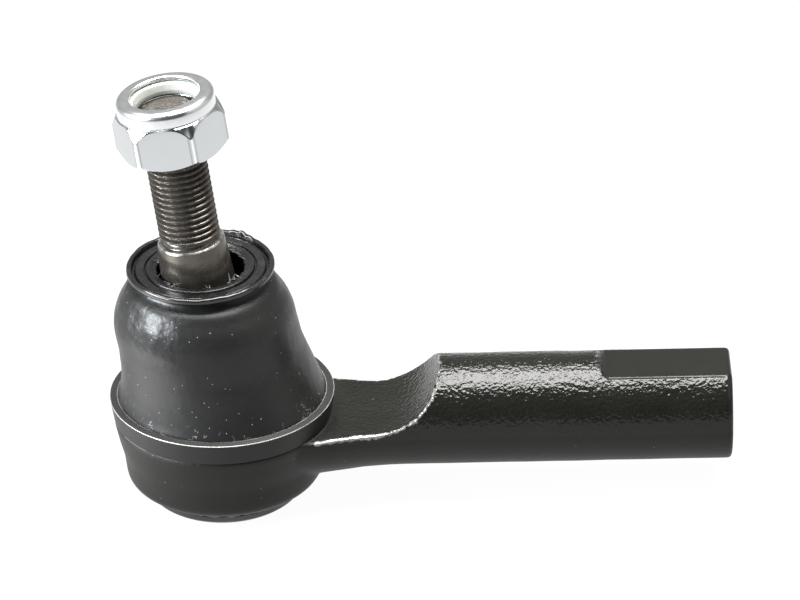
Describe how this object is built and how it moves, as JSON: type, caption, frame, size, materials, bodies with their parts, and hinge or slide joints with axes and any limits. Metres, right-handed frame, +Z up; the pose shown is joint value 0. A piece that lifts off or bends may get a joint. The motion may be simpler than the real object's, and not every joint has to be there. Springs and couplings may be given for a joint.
{
  "type": "tie rod end",
  "caption": "Steering joint: a forged cup with a threaded shank holds a leaning, swinging ball stud under a rubber boot, with a tapered seat and a self-locking nut.",
  "frame": {"origin": "centre of the closing plate's outer face, on the cup's axis", "axes": "+Z up the cup's axis towards the boot, +X along the shank towards its threaded end, +Y across"},
  "size_m": [0.1236, 0.0448, 0.0896],
  "materials": {
    "black_coat": "thin black coat over a rough forged skin",
    "zinc_plate": "bright pressed sheet",
    "spring_steel": "oiled spring steel",
    "seat_plastic": "moulded bearing plastic",
    "dark_steel": "dark brown-grey phosphate",
    "boot_rubber": "satin moulded rubber",
    "band_steel": "black steel band with a worn edge",
    "bright_zinc": "bright bluish zinc",
    "nylon": "ivory nylon"
  },
  "bodies": {
    "socket": {"housing": "black_coat", "cover_plate": "zinc_plate", "preload_spring": "spring_steel", "lower_seat": "seat_plastic", "upper_seat": "seat_plastic", "boot_base_ring": "band_steel"},
    "boot": {"dust_boot": "boot_rubber"},
    "boot_mouth": {"boot_lip_ring": "boot_rubber"},
    "stud": {"ball_stud": "dark_steel"},
    "nut_travel": {"nylon_insert": "nylon"},
    "nut": {"lock_nut": "bright_zinc"}
  },
  "joints": [
    {"name": "swing_along", "type": "hinge", "parent": "socket", "child": "boot", "pos_m": [0, 0, 0.0171], "axis": [0, 1, 0], "range_deg": [-11.1, 24.9], "deforming": ["dust_boot"]},
    {"name": "swing_across", "type": "hinge", "parent": "boot", "child": "boot_mouth", "pos_m": [0, 0, 0.0171], "axis": [1, 0, 0], "range_deg": [-18, 18]},
    {"name": "stud_spin", "type": "hinge", "parent": "boot_mouth", "child": "stud", "pos_m": [0, 0, 0.0171], "axis": [-0.1201, 0, 0.9928], "continuous": true},
    {"name": "nut_climb", "type": "slide", "parent": "stud", "child": "nut_travel", "axis": [-0.1201, 0, 0.9928], "range_m": [-0.01375, 0.00875]},
    {"name": "nut_turn", "type": "hinge", "parent": "nut_travel", "child": "nut", "pos_m": [-0.00717, 0, 0.07637], "axis": [-0.1201, 0, 0.9928], "range_deg": [-3960, 2520]}
  ],
  "couplings": [
    {"joint": "nut_climb", "follows": "nut_turn", "m_per_rad": 0.00019894}
  ]
}
